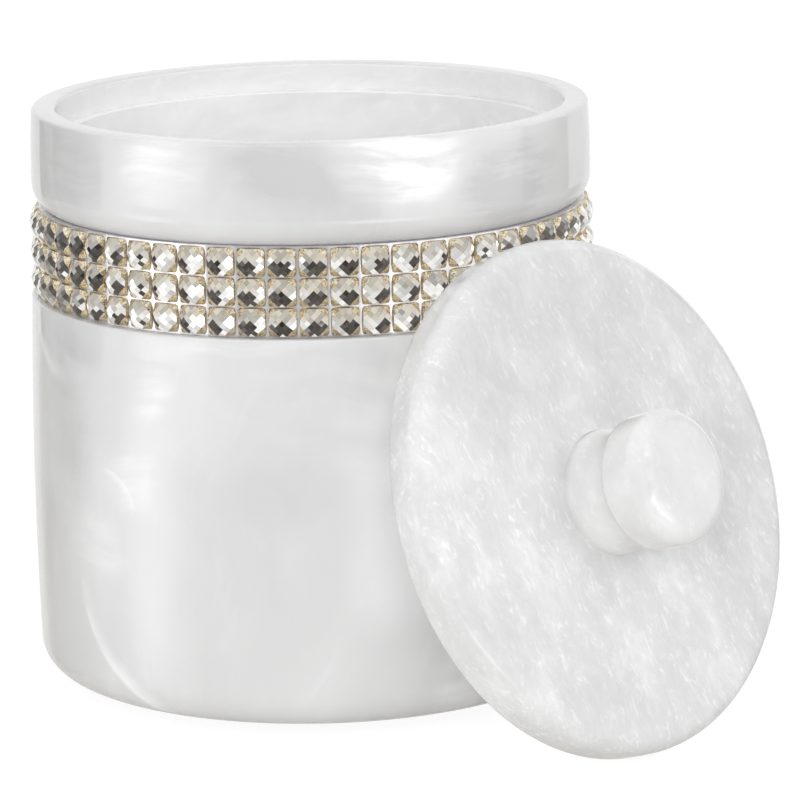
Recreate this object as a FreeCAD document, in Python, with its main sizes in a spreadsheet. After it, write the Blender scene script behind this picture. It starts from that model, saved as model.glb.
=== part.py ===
import FreeCAD, Part
import math
import os

import Sketcher

# Lidded canister, cast in pearl resin, with three rows of square crystals round its neck.
# The jar stands on a round foam pad and its lid leans against it, off to one side.
# Millimetres. The origin is on the table under the middle of the jar, with +Z up.

Vector = FreeCAD.Vector
Rotation = FreeCAD.Rotation
Placement = FreeCAD.Placement

SIZES = (
    ("jar_height", 102.0, "jar, from its underside to its rim"),
    ("floor_thickness", 8.0, "solid bottom of the jar"),
    ("base_rounding", 5.5, "round between the underside and the wall"),
    ("band_height", 68.7, "crystal groove above the underside"),
    ("foot_flare", 0.15, "how much the wall is wider at its foot than at the groove"),
    ("wall_bow", 0.68, "how far the wall swells between foot and groove"),
    ("shoulder_depth", 3.45, "step from the groove's bottom out to the wall"),
    ("shoulder_rounding", 0.5, "round on the wall's upper edge"),
    ("neck_wall", 3.75, "resin between the cavity and the groove"),
    ("cavity_rounding", 4.0, "round inside the jar, where its wall meets its floor"),
    ("ledge_width", 2.0, "ledge that the lid sits on"),
    ("rebate_depth", 5.2, "ledge below the rim"),
    ("rim_wall", 4.3, "flat rim from the mouth to the outside"),
    ("rim_rounding", 0.7, "round on both edges of the rim"),
    ("collar_swell", 0.4, "how much the collar is wider than the rim"),
    ("collar_bow", 0.12, "how far the collar's side is crowned"),
    ("collar_lip", 0.65, "collar's lower edge, out from the groove's bottom"),
    ("collar_rounding", 5.5, "round that turns the collar in to the groove"),
    ("pad_height", 2.4, "foam pad under the jar"),
    ("pad_inset", 13.0, "pad's edge, in from the foot of the wall"),
    ("pad_rounding", 0.8, "round on the pad's lower edge"),
    ("stone_size", 4.75, "side of a square stone"),
    ("stone_height", 3.0, "stone, from its flat back to its table"),
    ("stone_joint", 0.38, "least gap between two stones"),
    ("stone_corner", 0.7, "corner cut off a stone"),
    ("crown_drop", 1.1, "how far the crown falls to the middle of a side"),
    ("facet_width", 1.19, "one crown facet, from corner to corner"),
    ("mesh_backing", 0.45, "backing of the setting strip"),
    ("mesh_rise", 1.6, "lines of the strip, out from its backing"),
    ("mesh_step", 0.1, "upright lines of the strip, below its level ones"),
    ("mesh_clearance", 0.06, "gap between a line of the strip and a stone"),
    ("lid_radius", 44.6, "lid"),
    ("lid_clearance", 0.6, "gap round the lid in the mouth"),
    ("lid_thickness", 8.0, "lid"),
    ("lid_front_rounding", 3.1, "round on the knob side of the lid"),
    ("lid_back_rounding", 1.55, "round on the jar side of the lid"),
    ("knob_radius", 11.55, "head of the knob"),
    ("knob_height", 16.9, "knob, out from the lid"),
    ("knob_stem", 8.3, "stem of the knob, out from the lid"),
    ("knob_foot_radius", 10.9, "foot of the knob on the lid"),
    ("knob_foot_height", 1.2, "foot of the knob"),
    ("knob_foot_rounding", 0.6, "round on the foot's edge"),
    ("knob_overhang", 1.5, "step from the stem out to the head"),
    ("knob_waist", 0.95, "how far the stem is hollowed"),
    ("knob_front_rounding", 2.7, "round on the head's front edge"),
    ("knob_back_rounding", 1.3, "round on the head's back edge"),
    ("screw_radius", 2.0, "shank of the knob's screw"),
    ("screw_gap", 0.2, "gap round the shank in the lid"),
    ("thread_gap", 0.05, "gap round the shank in the insert"),
    ("screw_grip", 8.0, "length of the shank inside the knob"),
    ("screw_head_radius", 3.8, "head of the screw"),
    ("screw_head_height", 2.6, "head of the screw"),
    ("screw_socket_radius", 1.5, "hexagon socket, across its corners"),
    ("screw_socket_depth", 1.6, "hexagon socket"),
    ("head_recess", 0.5, "screw head below the lid's back face"),
    ("head_gap", 0.4, "gap round the screw head in its counterbore"),
    ("insert_wall", 1.2, "wall of the brass insert"),
    ("insert_length", 9.0, "brass insert"),
    ("insert_relief", 1.5, "space left behind the insert"),
    ("lean_facing", 45.7, "degrees that the leaning lid faces to the right of the front"),
    ("lean_tilt", 19.5, "degrees that the leaning lid lies back from upright"),
    ("lean_offset", -3.6, "lid's middle to the right of the jar's, seen along its axis"),
    ("lean_gap", 0.3, "gap between the leaning lid and the stones"),
)

FLATS_COUNT = 6
ROW_NAMES = ("top", "middle", "bottom")
EDGE_TOLERANCE = 1e-4


class Length:
    """A size: its value, and the formula that ties it to the sheet."""

    def __init__(self, value, formula):
        self.value = value
        self.formula = formula

    @staticmethod
    def of(other):
        """Takes a bare number as a length."""
        return other if isinstance(other, Length) else Length(float(other), repr(other))

    def __add__(self, other):
        other = Length.of(other)
        return Length(self.value + other.value, f"({self.formula} + {other.formula})")

    def __sub__(self, other):
        other = Length.of(other)
        return Length(self.value - other.value, f"({self.formula} - {other.formula})")

    def __mul__(self, other):
        other = Length.of(other)
        return Length(self.value * other.value, f"({self.formula} * {other.formula})")

    def __truediv__(self, other):
        other = Length.of(other)
        return Length(self.value / other.value, f"({self.formula} / {other.formula})")

    def root(self):
        return Length(math.sqrt(self.value), f"sqrt({self.formula})")

    def floor(self):
        return Length(math.floor(self.value), f"floor({self.formula})")


ZERO = Length(0.0, "0")


class HalfSection:
    """A closed outline beside the Z axis, with every corner held by the sheet.

    Corners are given in order as a radius and a height. The side that leaves a corner is
    straight, or an arc of a given radius that swells away from the axis or is hollowed.
    """

    def __init__(self, body, name):
        self.sketch = body.newObject("Sketcher::SketchObject", name)
        self.sketch.AttachmentSupport = [(origin_part(body, "XZ_Plane"), "")]
        self.sketch.MapMode = "FlatFace"
        self.corners = []
        self.arcs = {}

    def corner(self, radius, height):
        self.corners.append((Length.of(radius), Length.of(height)))
        return self

    def arc(self, radius, swells=True):
        """Makes the side that leaves the last corner an arc."""
        self.arcs[len(self.corners) - 1] = (radius, swells)
        return self

    def side(self, index):
        """The geometry of one side and which of its ends is its first corner."""
        here = self.corners[index]
        there = self.corners[(index + 1) % len(self.corners)]
        first = Vector(here[0].value, here[1].value, 0)
        last = Vector(there[0].value, there[1].value, 0)
        if index not in self.arcs:
            return Part.LineSegment(first, last), True
        radius, swells = self.arcs[index]
        chord = last - first
        middle = (first + last) * 0.5
        inward = Vector(-chord.y, chord.x, 0).normalize()
        if (inward.x > 0) == swells:
            inward = inward * -1
        reach = math.sqrt(radius.value**2 - (chord.Length / 2) ** 2)
        centre = middle + inward * reach
        start = math.atan2(first.y - centre.y, first.x - centre.x)
        end = math.atan2(last.y - centre.y, last.x - centre.x)
        forward = (end - start) % (2 * math.pi) < math.pi
        circle = Part.Circle(centre, Vector(0, 0, 1), radius.value)
        if forward:
            return Part.ArcOfCircle(circle, start, end), True
        return Part.ArcOfCircle(circle, end, start), False

    def hold(self, constraint, name="", length=None):
        """Adds a constraint and ties it to the sheet where it has a size."""
        number = self.sketch.addConstraint(constraint)
        if length is not None:
            self.sketch.renameConstraint(number, name)
            self.sketch.setExpression("Constraints." + name, length.formula)

    def close(self):
        """Draws the sides and holds their corners."""
        ends = []
        for index in range(len(self.corners)):
            shape, forward = self.side(index)
            ends.append((self.sketch.addGeometry(shape, False), (1, 2) if forward else (2, 1)))
        for index, (radius, height) in enumerate(self.corners):
            line, (first, _) = ends[index]
            before, (_, last) = ends[index - 1]
            self.hold(Sketcher.Constraint("Coincident", before, last, line, first))
            if radius.value == 0:
                self.hold(Sketcher.Constraint("PointOnObject", line, first, -2))
            else:
                across = Sketcher.Constraint("DistanceX", -1, 1, line, first, radius.value)
                self.hold(across, f"radius{index}", radius)
            if height.value == 0:
                self.hold(Sketcher.Constraint("PointOnObject", line, first, -1))
            else:
                up = Sketcher.Constraint("DistanceY", -1, 1, line, first, height.value)
                self.hold(up, f"height{index}", height)
        for index, (radius, _) in self.arcs.items():
            self.hold(Sketcher.Constraint("Radius", ends[index][0], radius.value), f"arc{index}", radius)
        return self.sketch


def origin_part(body, role):
    """One of the body's own origin planes or axes."""
    return next(part for part in body.Origin.OriginFeatures if part.Role == role)


def turned(body, section):
    """Turns a half section round the Z axis."""
    sketch = section.close()
    turn = body.newObject("PartDesign::Revolution", body.Name + "_turned")
    turn.Profile = sketch
    turn.ReferenceAxis = (sketch, ["V_Axis"])
    turn.Angle = 360
    body.Document.recompute()
    return turn


def rounded(body, base, name, radius, height, rounding):
    """Rounds the circular edge that has this radius at this height."""
    names = []
    for number, edge in enumerate(base.Shape.Edges, 1):
        curve = edge.Curve
        if not isinstance(curve, Part.Circle):
            continue
        right_size = abs(curve.Radius - radius.value) < EDGE_TOLERANCE
        right_place = abs(curve.Center.z - height.value) < EDGE_TOLERANCE
        if right_size and right_place:
            names.append(f"Edge{number}")
    if not names:
        raise RuntimeError(f"{body.Name}: no edge for {name}")
    fillet = body.newObject("PartDesign::Fillet", f"{body.Name}_{name}")
    fillet.Base = (base, names)
    fillet.setExpression("Radius", rounding.formula)
    body.Document.recompute()
    if fillet.Shape.isNull():
        raise RuntimeError(f"{body.Name}: {name} doesn't take its round")
    return fillet


def bow_radius(chord, bow):
    """Radius of an arc from its chord and its rise."""
    return (chord * chord / 4 + bow * bow) / (bow * 2)


def rectangle(sketch, near, far, width):
    """Draws a rectangle from near to far along X, its width shared evenly about the X axis."""
    half = width / 2
    corners = [(near, -1), (far, -1), (far, 1), (near, 1)]
    points = [Vector(x.value, side * half.value, 0) for x, side in corners]
    for index in range(4):
        sketch.addGeometry(Part.LineSegment(points[index], points[(index + 1) % 4]), False)
    for index in range(4):
        sketch.addConstraint(Sketcher.Constraint("Coincident", index, 2, (index + 1) % 4, 1))
    sketch.addConstraint(Sketcher.Constraint("Horizontal", 0))
    sketch.addConstraint(Sketcher.Constraint("Horizontal", 2))
    sketch.addConstraint(Sketcher.Constraint("Vertical", 1))
    sketch.addConstraint(Sketcher.Constraint("Symmetric", 0, 1, 2, 2, -1))
    sizes = {"near": ("DistanceX", (-1, 1, 0, 1), near), "far": ("DistanceX", (-1, 1, 1, 1), far)}
    sizes["width"] = ("DistanceY", (1, 1, 1, 2), width)
    for name, (kind, where, length) in sizes.items():
        number = sketch.addConstraint(Sketcher.Constraint(kind, *where, length.value))
        sketch.renameConstraint(number, name)
        sketch.setExpression("Constraints." + name, length.formula)


def regular_polygon(sketch, sides, radius):
    """Draws a polygon round the sketch's middle, its corners on a circle."""
    turns = [2 * math.pi * side / sides for side in range(sides)]
    points = [Vector(radius.value * math.cos(turn), radius.value * math.sin(turn), 0) for turn in turns]
    for index in range(sides):
        sketch.addGeometry(Part.LineSegment(points[index], points[(index + 1) % sides]), False)
    ring = sketch.addGeometry(Part.Circle(Vector(0, 0, 0), Vector(0, 0, 1), radius.value), True)
    sketch.addConstraint(Sketcher.Constraint("Coincident", ring, 3, -1, 1))
    for index in range(sides):
        sketch.addConstraint(Sketcher.Constraint("Coincident", index, 2, (index + 1) % sides, 1))
        sketch.addConstraint(Sketcher.Constraint("PointOnObject", index, 1, ring))
    for index in range(1, sides):
        sketch.addConstraint(Sketcher.Constraint("Equal", 0, index))
    sketch.addConstraint(Sketcher.Constraint("PointOnObject", 0, 1, -1))
    number = sketch.addConstraint(Sketcher.Constraint("Radius", ring, radius.value))
    sketch.renameConstraint(number, "radius")
    sketch.setExpression("Constraints.radius", radius.formula)


class Canister:
    """The document, its sheet of sizes and the sub-parts."""

    def __init__(self):
        self.doc = FreeCAD.newDocument("canister")
        self.sheet = self.doc.addObject("Spreadsheet::Sheet", "Sizes")
        self.write_sheet()
        self.nodes = []
        self.settle_levels()

    def write_sheet(self):
        for row, (name, value, note) in enumerate(SIZES, 1):
            self.sheet.set(f"A{row}", name)
            self.sheet.set(f"B{row}", str(value))
            self.sheet.set(f"C{row}", note)
            self.sheet.setAlias(f"B{row}", name)
        self.doc.recompute()

    def size(self, name):
        return Length(float(self.sheet.get(name)), "Sizes." + name)

    def settle_levels(self):
        """Radii and heights that several pieces share."""
        size = self.size
        self.mouth_radius = size("lid_radius") + size("lid_clearance")
        self.rim_radius = self.mouth_radius + size("rim_wall")
        self.cavity_radius = self.mouth_radius - size("ledge_width")
        self.neck_radius = self.cavity_radius + size("neck_wall")
        self.bed_radius = self.neck_radius + size("mesh_backing")
        self.collar_radius = self.rim_radius + size("collar_swell")
        crest_radius = self.bed_radius + size("stone_height")
        self.widest = max(crest_radius.value, self.collar_radius.value + size("collar_bow").value)
        self.underside = size("pad_height")
        self.wall_top = self.neck_radius + size("shoulder_depth")
        self.wall_foot = self.wall_top + size("foot_flare")
        self.rim_level = self.underside + size("jar_height")
        self.stone_pitch = size("stone_size") + size("stone_joint")
        self.band_bottom = self.underside + size("band_height")
        self.band_top = self.band_bottom + self.stone_pitch * len(ROW_NAMES) + size("stone_joint")
        self.columns = (self.bed_radius * (2 * math.pi) / self.stone_pitch).floor()
        self.head_pocket = size("screw_head_height") + size("head_recess")
        self.insert_bore = size("screw_radius") + size("thread_gap")
        self.insert_radius = self.insert_bore + size("insert_wall")

    def new_body(self, label):
        body = self.doc.addObject("PartDesign::Body", label)
        body.Label = label
        self.nodes.append(body)
        return body

    def build(self):
        self.add_jar()
        self.add_base_pad()
        self.add_crystal_mesh()
        self.add_crystals()
        self.add_lid()
        self.add_knob()
        self.add_knob_screw()
        self.add_knob_insert()

    def add_jar(self):
        size = self.size
        body = self.new_body("jar")
        collar_edge = self.neck_radius + size("collar_lip")
        turn_in = size("collar_rounding")
        straight = turn_in - (self.collar_radius - collar_edge)
        collar_start = self.band_top + (turn_in * turn_in - straight * straight).root()
        ledge_level = self.rim_level - size("rebate_depth")
        cavity_floor = self.underside + size("floor_thickness")
        section = HalfSection(body, "jar_section")
        section.corner(0, self.underside)
        section.corner(self.wall_foot, self.underside)
        section.arc(bow_radius(size("band_height"), size("wall_bow")))
        section.corner(self.wall_top, self.band_bottom)
        section.corner(self.neck_radius, self.band_bottom)
        section.corner(self.neck_radius, self.band_top)
        section.corner(collar_edge, self.band_top)
        section.arc(turn_in)
        section.corner(self.collar_radius, collar_start)
        section.arc(bow_radius(self.rim_level - collar_start, size("collar_bow")))
        section.corner(self.rim_radius, self.rim_level)
        section.corner(self.mouth_radius, self.rim_level)
        section.corner(self.mouth_radius, ledge_level)
        section.corner(self.cavity_radius, ledge_level)
        section.corner(self.cavity_radius, cavity_floor)
        section.corner(0, cavity_floor)
        solid = turned(body, section)
        solid = rounded(body, solid, "base", self.wall_foot, self.underside, size("base_rounding"))
        solid = rounded(
            body, solid, "shoulder", self.wall_top, self.band_bottom, size("shoulder_rounding")
        )
        solid = rounded(body, solid, "rim_out", self.rim_radius, self.rim_level, size("rim_rounding"))
        solid = rounded(body, solid, "rim_in", self.mouth_radius, self.rim_level, size("rim_rounding"))
        rounded(body, solid, "cavity", self.cavity_radius, cavity_floor, size("cavity_rounding"))

    def add_base_pad(self):
        body = self.new_body("base_pad")
        edge = self.wall_foot - self.size("pad_inset")
        section = HalfSection(body, "pad_section")
        section.corner(0, 0)
        section.corner(edge, 0)
        section.corner(edge, self.underside)
        section.corner(0, self.underside)
        solid = turned(body, section)
        rounded(body, solid, "edge", edge, ZERO, self.size("pad_rounding"))

    def add_group(self, label, shape, places):
        """One node of equal separate solids."""
        solids = []
        for place in places:
            solid = shape.copy()
            solid.Placement = place
            solids.append(solid)
        group = self.doc.addObject("Part::Feature", label)
        group.Label = label
        group.Shape = Part.makeCompound(solids)
        group.Placement = Placement()
        self.nodes.append(group)

    def add_crystal_mesh(self):
        """A thin backing with a raised line round every stone."""
        size = self.size
        body = self.new_body("crystal_mesh")
        line = size("stone_joint") - size("mesh_clearance") * 2
        crest = self.bed_radius + size("mesh_rise")
        rows = len(ROW_NAMES)
        section = HalfSection(body, "mesh_section")
        for row in range(rows + 1):
            lower = self.band_bottom + self.stone_pitch * row + size("mesh_clearance")
            upper = lower + line
            section.corner(self.bed_radius if row else self.neck_radius, lower)
            section.corner(crest, lower)
            section.corner(crest, upper)
            section.corner(self.neck_radius if row == rows else self.bed_radius, upper)
        turned(body, section)
        bar = body.newObject("Sketcher::SketchObject", "mesh_bar_section")
        bar.AttachmentSupport = [(origin_part(body, "XY_Plane"), "")]
        bar.MapMode = "FlatFace"
        start = self.band_bottom + size("stone_joint") / 2
        bar.setExpression("AttachmentOffset.Base.z", start.formula)
        rectangle(bar, self.neck_radius + size("mesh_backing") / 2, crest - size("mesh_step"), line)
        pad = body.newObject("PartDesign::Pad", "mesh_bar")
        pad.Profile = bar
        pad.setExpression("Length", (self.stone_pitch * rows).formula)
        self.doc.recompute()
        bars = body.newObject("PartDesign::PolarPattern", "mesh_bars")
        bars.Originals = [pad]
        bars.Axis = (origin_part(body, "Z_Axis"), [""])
        bars.Angle = 360
        bars.setExpression("Occurrences", self.columns.formula)
        body.Tip = bars
        self.doc.recompute()
        if len(bars.Shape.Solids) != 1:
            raise RuntimeError("crystal_mesh: the upright lines came loose")

    def stone(self):
        """One stone: a square block with cut corners under a crown of diamond facets.

        The facets lie on a shallow bowl, so that each diamond of the turned grid is flat.
        """
        half = self.size("stone_size").value / 2
        inner = half - self.size("stone_corner").value
        height = self.size("stone_height").value
        step = self.size("facet_width").value / 2
        fall = self.size("crown_drop").value / half**2
        outline = [(half, -inner), (half, inner), (inner, half), (-inner, half)]
        outline += [(-x, -y) for x, y in outline]
        wire = Part.makePolygon([Vector(x, y, 0) for x, y in outline + outline[:1]])
        solid = Part.Face(wire).extrude(Vector(0, 0, height))
        reach = math.ceil(half / step)
        block = half * 4
        for across in range(-reach, reach + 1):
            for along in range(-reach, reach + 1):
                if (across + along) % 2:
                    continue
                x = across * step
                y = along * step
                if abs(x) + abs(y) > half + inner + step:
                    continue
                waste = Part.makeBox(block, block, block, Vector(-block / 2, -block / 2, 0))
                tilt = Rotation(Vector(0, 0, 1), Vector(2 * fall * x, 2 * fall * y, 1))
                waste.Placement = Placement(Vector(x, y, height - fall * (x * x + y * y)), tilt)
                solid = solid.cut(waste)
        return solid

    def add_crystals(self):
        stone = self.stone()
        columns = int(self.columns.value)
        for number, name in enumerate(ROW_NAMES):
            below = len(ROW_NAMES) - 1 - number
            level = self.band_bottom + self.size("stone_joint") + self.size("stone_size") / 2
            level = level + self.stone_pitch * below
            places = []
            for column in range(columns):
                angle = 2 * math.pi * (column + 0.5) / columns
                outward = Vector(math.cos(angle), math.sin(angle), 0)
                sideways = Vector(-math.sin(angle), math.cos(angle), 0)
                seat = outward * self.bed_radius.value + Vector(0, 0, level.value)
                places.append(Placement(seat, Rotation(sideways, Vector(0, 0, 1), outward, "ZXY")))
            self.add_group(f"crystals_{name}_row", stone, places)

    def lean(self, out=ZERO):
        """Placement of a piece of the leaning lid, so far out along the lid's axis.

        The lid's back edge rests on the table below and meets the stones above.
        """
        size = self.size
        facing = math.radians(size("lean_facing").value)
        tilt = math.radians(size("lean_tilt").value)
        rounding = size("lid_back_rounding").value
        reach = size("lid_radius").value - rounding
        height = rounding * (1 - math.sin(tilt)) + reach * math.cos(tilt)
        away = self.widest + size("lean_gap").value
        away += rounding * (1 - math.cos(tilt)) + reach * math.sin(tilt)
        front = Vector(math.sin(facing), -math.cos(facing), 0)
        side = Vector(math.cos(facing), math.sin(facing), 0)
        axis = front * math.cos(tilt) + Vector(0, 0, math.sin(tilt))
        middle = front * away + side * size("lean_offset").value + Vector(0, 0, height)
        return Placement(middle + axis * out.value, Rotation(side, axis.cross(side), axis, "ZXY"))

    def add_lid(self):
        size = self.size
        body = self.new_body("lid")
        bore = size("screw_radius") + size("screw_gap")
        pocket = size("screw_head_radius") + size("head_gap")
        section = HalfSection(body, "lid_section")
        section.corner(pocket, 0)
        section.corner(size("lid_radius"), 0)
        section.corner(size("lid_radius"), size("lid_thickness"))
        section.corner(bore, size("lid_thickness"))
        section.corner(bore, self.head_pocket)
        section.corner(pocket, self.head_pocket)
        solid = turned(body, section)
        solid = rounded(
            body, solid, "front", size("lid_radius"), size("lid_thickness"), size("lid_front_rounding")
        )
        rounded(body, solid, "back", size("lid_radius"), ZERO, size("lid_back_rounding"))
        body.Placement = self.lean()

    def add_knob(self):
        size = self.size
        body = self.new_body("knob")
        depth = size("insert_length") + size("insert_relief")
        throat = size("knob_radius") - size("knob_overhang")
        foot = size("knob_foot_radius")
        stem = size("knob_stem") - size("knob_foot_height")
        section = HalfSection(body, "knob_section")
        section.corner(self.insert_radius, 0)
        section.corner(foot, 0)
        section.corner(foot, size("knob_foot_height"))
        section.arc(bow_radius(stem, size("knob_waist")), swells=False)
        section.corner(throat, size("knob_stem"))
        section.corner(size("knob_radius"), size("knob_stem"))
        section.corner(size("knob_radius"), size("knob_height"))
        section.corner(0, size("knob_height"))
        section.corner(0, depth)
        section.corner(self.insert_radius, depth)
        solid = turned(body, section)
        solid = rounded(body, solid, "foot", foot, size("knob_foot_height"), size("knob_foot_rounding"))
        solid = rounded(
            body, solid, "back", size("knob_radius"), size("knob_stem"), size("knob_back_rounding")
        )
        rounded(body, solid, "front", size("knob_radius"), size("knob_height"), size("knob_front_rounding"))
        body.Placement = self.lean(size("lid_thickness"))

    def add_knob_screw(self):
        """A pan head in the lid's counterbore, its socket outward, and a shank up into the knob."""
        size = self.size
        body = self.new_body("knob_screw")
        tip = size("lid_thickness") + size("screw_grip")
        section = HalfSection(body, "screw_section")
        section.corner(0, size("head_recess"))
        section.corner(size("screw_head_radius"), size("head_recess"))
        section.corner(size("screw_head_radius"), self.head_pocket)
        section.corner(size("screw_radius"), self.head_pocket)
        section.corner(size("screw_radius"), tip)
        section.corner(0, tip)
        solid = turned(body, section)
        whole = solid.Shape.Volume
        socket = body.newObject("Sketcher::SketchObject", "screw_socket_section")
        socket.AttachmentSupport = [(origin_part(body, "XY_Plane"), "")]
        socket.MapMode = "FlatFace"
        socket.setExpression("AttachmentOffset.Base.z", size("head_recess").formula)
        regular_polygon(socket, FLATS_COUNT, size("screw_socket_radius"))
        pocket = body.newObject("PartDesign::Pocket", "screw_socket")
        pocket.Profile = socket
        pocket.Reversed = True
        pocket.setExpression("Length", size("screw_socket_depth").formula)
        self.doc.recompute()
        if pocket.Shape.Volume >= whole:
            raise RuntimeError("knob_screw: the socket cuts nothing")
        body.Placement = self.lean()

    def add_knob_insert(self):
        size = self.size
        body = self.new_body("knob_insert")
        section = HalfSection(body, "insert_section")
        section.corner(self.insert_bore, 0)
        section.corner(self.insert_radius, 0)
        section.corner(self.insert_radius, size("insert_length"))
        section.corner(self.insert_bore, size("insert_length"))
        turned(body, section)
        body.Placement = self.lean(size("lid_thickness"))

    def check(self):
        """Stops where anything in the document failed."""
        for item in self.doc.Objects:
            if "Invalid" in item.State or "Error" in item.State:
                raise RuntimeError(f"{item.Name} failed: {item.State}")
        for node in self.nodes:
            if node.Shape.isNull() or not node.Shape.isValid() or not node.Shape.Solids:
                raise RuntimeError(f"{node.Label} has no sound solid")

    def write(self):
        os.makedirs("parts", exist_ok=True)
        for node in self.nodes:
            node.Shape.exportStep(f"parts/{node.Label}.step")
            box = node.Shape.BoundBox
            print(
                f"{node.Label}: {len(node.Shape.Solids)} solids, {node.Shape.Volume / 1000:.2f} cm3, "
                f"x {box.XMin:.2f} to {box.XMax:.2f}, y {box.YMin:.2f} to {box.YMax:.2f}, "
                f"z {box.ZMin:.2f} to {box.ZMax:.2f}"
            )


canister = Canister()
canister.build()
canister.doc.recompute()
canister.check()
canister.write()
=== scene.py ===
import logging
import math
import random
from dataclasses import dataclass
from enum import Enum
from typing import Any, Optional, Union

import bpy
from bpy.types import Material, Node, NodeSocket, NodeTree, Object
from mathutils import Euler, Matrix, Vector


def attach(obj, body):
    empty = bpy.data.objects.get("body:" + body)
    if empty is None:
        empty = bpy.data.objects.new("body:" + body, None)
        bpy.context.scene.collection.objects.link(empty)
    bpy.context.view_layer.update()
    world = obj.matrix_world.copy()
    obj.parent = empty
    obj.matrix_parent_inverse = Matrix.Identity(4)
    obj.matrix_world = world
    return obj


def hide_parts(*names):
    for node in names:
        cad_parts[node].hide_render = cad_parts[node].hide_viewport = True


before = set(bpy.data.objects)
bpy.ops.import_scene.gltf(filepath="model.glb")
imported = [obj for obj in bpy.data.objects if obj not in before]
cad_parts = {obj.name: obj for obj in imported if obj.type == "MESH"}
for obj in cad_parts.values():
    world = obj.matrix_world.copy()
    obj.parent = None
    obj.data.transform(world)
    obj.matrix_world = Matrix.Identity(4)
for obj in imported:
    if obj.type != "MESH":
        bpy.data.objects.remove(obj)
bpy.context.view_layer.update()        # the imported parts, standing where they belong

# Lidded canister in cast pearl resin, with three rows of square crystals round its neck and
# its lid leaning against it. Sizes are written in millimetres and turned to metres on use.
# Heights are taken from the table, or along the axis of a piece that leans.

log = logging.getLogger("canister")
MM = 0.001
TURN = 2 * math.pi
ROUND_STEPS = 192                 # straight edges to a full circle
SMOOTH_ANGLE = math.radians(32)   # edges sharper than this stay hard
NEAR = 0.02                       # places this near each other, in millimetres, are one
SAME_POINT = 0.002                # two copies of a point are this near, in millimetres
ON_PLANE = 1e-7                   # a point this near a cut's plane, in metres, is on it
FADE = {"interpolation_type": "SMOOTHSTEP"}

Settings = dict[str, Any]
Inputs = dict[Union[str, int], Any]
Point = tuple[float, float, float]
Span = tuple[float, float]
Stops = tuple[tuple[float, str], ...]


def linear(code: str) -> tuple[float, float, float, float]:
    """Turns an sRGB hex colour to the linear values that a shader takes.

    Args:
        code: The colour as "#rrggbb".

    Returns:
        Red, green, blue and an alpha of one.
    """
    parts = [int(code[place:place + 2], 16) / 255 for place in (1, 3, 5)]
    red, green, blue = [
        part / 12.92 if part <= 0.04045 else ((part + 0.055) / 1.055) ** 2.4 for part in parts]
    return red, green, blue, 1.0


def add_node(tree: NodeTree, kind: str, settings: Optional[Settings] = None,
             values: Optional[Inputs] = None, stops: Stops = ()) -> Node:
    """Adds a node with its settings, and fills or links its inputs.

    Args:
        tree: The node tree that gets the node.
        kind: The node's type name.
        settings: Properties of the node.
        values: Inputs by name or number, each a plain value or the socket that feeds it.
        stops: Places along a colour ramp, each with its hex colour.

    Returns:
        The new node.
    """
    node = tree.nodes.new(kind)
    for name, value in (settings or {}).items():
        setattr(node, name, value)
    for name, value in (values or {}).items():
        if isinstance(value, NodeSocket):
            tree.links.new(value, node.inputs[name])
        else:
            node.inputs[name].default_value = value
    for number, (place, code) in enumerate(stops):
        if number == len(node.color_ramp.elements):
            node.color_ramp.elements.new(1.0)
        node.color_ramp.elements[number].position = place
        node.color_ramp.elements[number].color = linear(code)
    return node


def new_material(name: str) -> tuple[Material, NodeTree]:
    """Makes a material whose node tree is still empty.

    Args:
        name: The material's name.

    Returns:
        The material and its node tree.
    """
    material = bpy.data.materials.new(name)
    material.use_nodes = True
    material.node_tree.nodes.clear()
    return material, material.node_tree


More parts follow.
